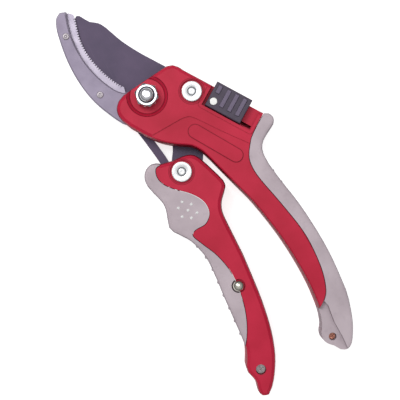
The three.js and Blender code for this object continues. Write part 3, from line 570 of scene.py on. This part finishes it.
softenedCopy("upper_grip", "soft_upper_grip", "upper_handle", "grey_grip", gripMaterial, gripShape["edge"],
             2, 35, 50)
addPips(softenedCopy("lower_grip", "soft_lower_grip", "lower_handle", "grey_grip", gripMaterial,
                     gripShape["edge"], 2, 35, 50))
print("grips ready")


# ---- jaws and plates

softenedCopy("hook_jaw", "cast_hook_jaw", "upper_handle", "satin_aluminium", aluminiumMaterial, 0.16 * mm)
softenedCopy("serrated_insert", "toothed_insert", "upper_handle", "toothed_steel", steelMaterial, 0.06 * mm,
             1)
softenedCopy("blade", "coated_blade", "blade", "dark_coating", coatingMaterial, 0.12 * mm)
softenedCopy("frame_plate", "coated_frame_plate", "upper_handle", "dark_coating", coatingMaterial, 0.16 * mm)
softenedCopy("pull_link", "coated_pull_link", "pull_link", "dark_coating", coatingMaterial, 0.16 * mm)
print("jaws and plates ready")


# ---- turned pieces: a half section spun about its own axis

turnedSteps = 96


def turnedPiece(name, node, section, body, slotName, material):
    low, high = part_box(node)
    centre = ((low.x + high.x) / 2, (low.y + high.y) / 2)
    points = [(centre[0] + radius, centre[1], height) for radius, height in section]
    mesh = bpy.data.meshes.new(name)
    mesh.from_pydata(points, [(i, i + 1) for i in range(len(points) - 1)], [])
    piece = bpy.data.objects.new(name, mesh)
    bpy.context.scene.collection.objects.link(piece)
    makeActive(piece)
    bpy.ops.object.mode_set(mode="EDIT")
    bpy.ops.mesh.select_all(action="SELECT")
    bpy.ops.mesh.spin(steps=turnedSteps, angle=math.tau, center=(*centre, 0), axis=(0, 0, 1))
    bpy.ops.mesh.select_all(action="SELECT")
    bpy.ops.mesh.remove_doubles(threshold=0.002 * mm)
    bpy.ops.mesh.normals_make_consistent(inside=False)
    bpy.ops.object.mode_set(mode="OBJECT")
    smoothByAngle(piece, 32)
    markEdges(piece)
    return finishPiece(piece, body, slotName, material, node)


# A quarter-round from one radius and height to another, bulging outwards and up
def roundedStep(radiusFrom, heightFrom, radiusTo, heightTo, count=6):
    steps = []
    for i in range(count + 1):
        angle = math.pi / 2 * i / count
        radius = radiusTo + (radiusFrom - radiusTo) * math.cos(angle)
        height = heightFrom + (heightTo - heightFrom) * math.sin(angle)
        steps.append((radius, height))
    return steps


rivetShape = {
    "shank": 2.4 * mm,
    "headHeight": 1.05 * mm,
    "corner": 0.28 * mm,
    "ringOuter": 2.12 * mm,
    "ringInner": 1.62 * mm,
    "ringDepth": 0.4 * mm,
    "tailHeight": 0.8 * mm,
}


def rivetSection(node):
    low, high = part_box(node)
    shape = rivetShape
    radius = (high.x - low.x) / 2
    top = high.z
    corner = shape["corner"]
    section = [(0, low.z + 0.25 * mm), (1.4 * mm, low.z + 0.12 * mm), (2.2 * mm, low.z),
               (radius - corner, low.z)]
    section += [(radius, low.z + corner), (radius, low.z + shape["tailHeight"]),
                (shape["shank"], low.z + shape["tailHeight"])]
    section += [(shape["shank"], top - shape["headHeight"]), (radius, top - shape["headHeight"])]
    section += roundedStep(radius, top - corner, radius - corner, top)
    section += [(shape["ringOuter"] + 0.1 * mm, top), (shape["ringOuter"], top - 0.05 * mm)]
    section += [(shape["ringOuter"] - 0.06 * mm, top - shape["ringDepth"]),
                (shape["ringInner"] + 0.08 * mm, top - shape["ringDepth"])]
    section += [(shape["ringInner"], top - 0.2 * mm), (shape["ringInner"] - 0.15 * mm, top - 0.12 * mm)]
    section += [(0.7 * mm, top - 0.1 * mm), (0.2 * mm, top - 0.2 * mm), (0, top - 0.2 * mm)]
    return section


for node, body in (("body_rivet", "upper_handle"), ("handle_rivet", "lower_handle")):
    # The dark ring is painted shade in the rivet head's groove
    grooveShadeRing = (1.88 * mm, 0.62 * mm)
    material = zincFinish("zinc_" + node, middleOf(node), srgb(216, 218, 220), 0.34, 0.5, grooveShadeRing)
    turnedPiece("turned_" + node, node, rivetSection(node), body, "zinc", material)


boltShape = {"shank": 3.4 * mm, "headHeight": 2.2 * mm, "crown": 1.95 * mm}


def boltSection():
    low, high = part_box("main_bolt")
    shape = boltShape
    radius = (high.x - low.x) / 2
    headTop = low.z + shape["headHeight"] - 0.35 * mm
    section = [(0, low.z + 0.02 * mm), (2.2 * mm, low.z), (radius - 1.1 * mm, low.z + 0.1 * mm)]
    section += [(radius - 0.35 * mm, low.z + 0.42 * mm), (radius, low.z + 0.9 * mm), (radius, headTop)]
    section += [(shape["shank"], headTop), (shape["shank"], high.z - shape["crown"] + 0.05 * mm)]
    dome = roundedStep(shape["shank"] - 0.12 * mm, high.z - shape["crown"] + 0.3 * mm, 0.9 * mm,
                       high.z - 0.12 * mm, 10)
    section += dome + [(0.45 * mm, high.z - 0.03 * mm), (0, high.z)]
    return section


boltMaterial = zincFinish("zinc_bolt", middleOf("main_bolt"), srgb(222, 222, 228), 0.12, 1.0)
turnedPiece("turned_main_bolt", "main_bolt", boltSection(), "upper_handle", "zinc", boltMaterial)
# The nut carries a dark ring of painted shade round the bolt
nutMaterial = zincFinish("zinc_nut", middleOf("main_nut"), srgb(222, 223, 229), 0.17, 1.0,
                         (3.72 * mm, 0.7 * mm))
softenedCopy("main_nut", "bright_main_nut", "upper_handle", "zinc", nutMaterial, 0.1 * mm, 2, 25, 30)


def washerSection():
    low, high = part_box("main_washer")
    outer = (high.x - low.x) / 2
    inner = boltShape["shank"] + 0.2 * mm
    corner = 0.15 * mm
    section = [(inner, low.z), (outer - corner, low.z), (outer, low.z + corner), (outer, high.z - corner)]
    section += [(outer - corner, high.z), (inner + corner, high.z), (inner, high.z - corner), (inner, low.z)]
    return section


turnedPiece("turned_main_washer", "main_washer", washerSection(), "upper_handle", "zinc", nutMaterial)


def studSection():
    low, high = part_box("handle_stud")
    radius = (high.x - low.x) / 2
    face = high.z - 3 * mm
    section = [(0, low.z), (1.3 * mm, low.z), (1.4 * mm, low.z + 0.1 * mm), (1.4 * mm, face),
               (radius - 0.15 * mm, face)]
    section += [(radius, face + 0.15 * mm), (radius, face + 0.6 * mm)]
    section += roundedStep(radius, face + 0.75 * mm, 0.0, high.z, 14)
    return section


studMaterial = zincFinish("nickel_stud", middleOf("handle_stud"), srgb(214, 212, 200), 0.1, 1.0)
turnedPiece("turned_handle_stud", "handle_stud", studSection(), "lower_handle", "zinc", studMaterial)


def smallRivetSection(node):
    low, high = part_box(node)
    radius = (high.x - low.x) / 2
    shank = 1 * mm
    under = high.z - 0.55 * mm
    section = [(0, low.z), (shank, low.z), (shank, under), (radius, under)]
    section += roundedStep(radius, under + 0.1 * mm, radius * 0.62, high.z - 0.06 * mm, 5)
    section += [(radius * 0.5, high.z), (radius * 0.3, high.z - 0.12 * mm),
                (radius * 0.16, high.z - 0.3 * mm)]
    section += [(0, high.z - 0.32 * mm)]
    return section


for node in ("insert_rivet_1", "insert_rivet_2"):
    material = zincFinish("dull_" + node, middleOf(node), srgb(188, 180, 186), 0.36, 0.7)
    turnedPiece("turned_" + node, node, smallRivetSection(node), "upper_handle", "zinc", material)
print("turned pieces ready")


# ---- screws, lock and the pieces that stay as they are in the frame

lowerScrewMaterial = zincFinish("steel_screw", middleOf("lower_end_screw"), srgb(168, 160, 162), 0.32, 0.8)
upperScrewMaterial = zincFinish("copper_screw", middleOf("upper_end_screw"), srgb(176, 120, 104), 0.3, 0.8)
softenedCopy("lower_end_screw", "recessed_lower_screw", "lower_handle", "zinc", lowerScrewMaterial,
             0.08 * mm, 2, 30)
softenedCopy("upper_end_screw", "recessed_upper_screw", "upper_handle", "bronze", upperScrewMaterial,
             0.06 * mm, 2, 30)
softenedCopy("lock_slider", "ribbed_lock_slider", "lock", "black_plastic", plasticMaterial, 0.16 * mm)


def dotSection():
    low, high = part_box("lock_dot")
    radius = (high.x - low.x) / 2
    section = [(0, low.z), (radius, low.z), (radius, high.z - 0.25 * mm)]
    section += roundedStep(radius, high.z - 0.2 * mm, radius * 0.7, high.z - 0.03 * mm, 5)
    section += [(0, high.z)]
    return section


turnedPiece("white_lock_dot", "lock_dot", dotSection(), "lock", "white_plastic", whiteMaterial)

carried = {
    "pivot_bush": zincFinish("bronze_bush", middleOf("pivot_bush"), srgb(170, 120, 90), 0.35, 0.9),
    "rivet_spacer": zincFinish("zinc_spacer", middleOf("rivet_spacer")),
    "blade_link_pin": zincFinish("zinc_blade_pin", middleOf("blade_link_pin")),
    "handle_link_pin": zincFinish("zinc_handle_pin", middleOf("handle_link_pin")),
    "lock_tongue": zincFinish("zinc_tongue", middleOf("lock_tongue")),
    "return_spring": springMaterial,
}
for node, material in carried.items():
    slots = frame["nodes"][node].data.materials
    slots.clear()
    slots.append(material)
print("lock and carried pieces ready")


# ---- floor, light and camera

stageLook = {
    "floor": (0.6, 0.6, 0.6),
    "cameraHeight": 420 * mm,       # above the front faces
    "viewWidth": 188 * mm,          # what the picture spans on the plane of the front faces
    "turn": -30,                    # the picture's up against the tool's length
    "aim": (-2.9 * mm, -54.8 * mm), # from the main pivot
    "zenith": 0.62,
    "horizon": 0.05,
    "keyPower": 2.6,
    "topPower": 2.0,
    "floorGlow": 0.72,
}
deselectAll()
bpy.ops.mesh.primitive_plane_add(size=4, location=(0, 0, 0))
floor = bpy.context.object
floor.name = "floor"
floorFinish = Finish("pale_floor", stageLook["floor"], 0.6)
floorFinish.drive("Roughness", 0.55 + floorFinish.noise(40 * mm, 2) * 0.1)
floorFinish.shader.inputs["Emission Color"].default_value = (1, 1, 1, 1)
floorFinish.shader.inputs["Emission Strength"].default_value = stageLook["floorGlow"]
floor.data.materials.append(floorFinish.material)

# A sky that is bright overhead and dim at the horizon, so that upright walls stay dark
world = bpy.data.worlds.new("studio")
world.use_nodes = True
bpy.context.scene.world = world
skyNodes = world.node_tree.nodes
skyLinks = world.node_tree.links
direction = skyNodes.new("ShaderNodeTexCoord")
parts = skyNodes.new("ShaderNodeSeparateXYZ")
ramp = skyNodes.new("ShaderNodeMapRange")
ramp.inputs["From Min"].default_value = 0.1
ramp.inputs["From Max"].default_value = 0.9
ramp.inputs["To Min"].default_value = stageLook["horizon"]
ramp.inputs["To Max"].default_value = stageLook["zenith"]
skyLinks.new(direction.outputs["Generated"], parts.inputs[0])
skyLinks.new(parts.outputs["Z"], ramp.inputs["Value"])
skyLinks.new(ramp.outputs["Result"], skyNodes["Background"].inputs["Strength"])
skyNodes["Background"].inputs["Color"].default_value = (1, 1, 1, 1)

pivot = jointPlace("blade_swing")
pictureUp = Vector((0.5, 0.866, 0))
pictureLeft = Vector((-0.866, 0.5, 0))


def addSoftbox(name, up, left, height, size, power):
    light = bpy.data.lights.new(name, "AREA")
    light.size = size
    light.energy = power
    lamp = bpy.data.objects.new(name, light)
    bpy.context.scene.collection.objects.link(lamp)
    lamp.location = pictureUp * up + pictureLeft * left + Vector((0, 0, height))
    lamp.rotation_euler = (-lamp.location).to_track_quat("-Z", "Y").to_euler()


addSoftbox("key_softbox", 0.3, 0.32, 0.75, 0.3, stageLook["keyPower"])
addSoftbox("top_softbox", 0.18, 0.0, 1.0, 0.5, stageLook["topPower"])

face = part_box("upper_front_shell")[1].z
camera = bpy.data.objects.new("camera", bpy.data.cameras.new("camera"))
bpy.context.scene.collection.objects.link(camera)
camera.data.sensor_width = 36
camera.data.lens = 36 * stageLook["cameraHeight"] / stageLook["viewWidth"]
camera.data.clip_start = 0.01
camera.location = (pivot.x + stageLook["aim"][0], pivot.y + stageLook["aim"][1],
                   face + stageLook["cameraHeight"])
camera.rotation_euler = (0, 0, math.radians(stageLook["turn"]))
bpy.context.scene.camera = camera
bpy.context.scene.view_settings.view_transform = "Standard"
print("stage ready")

deselectAll()
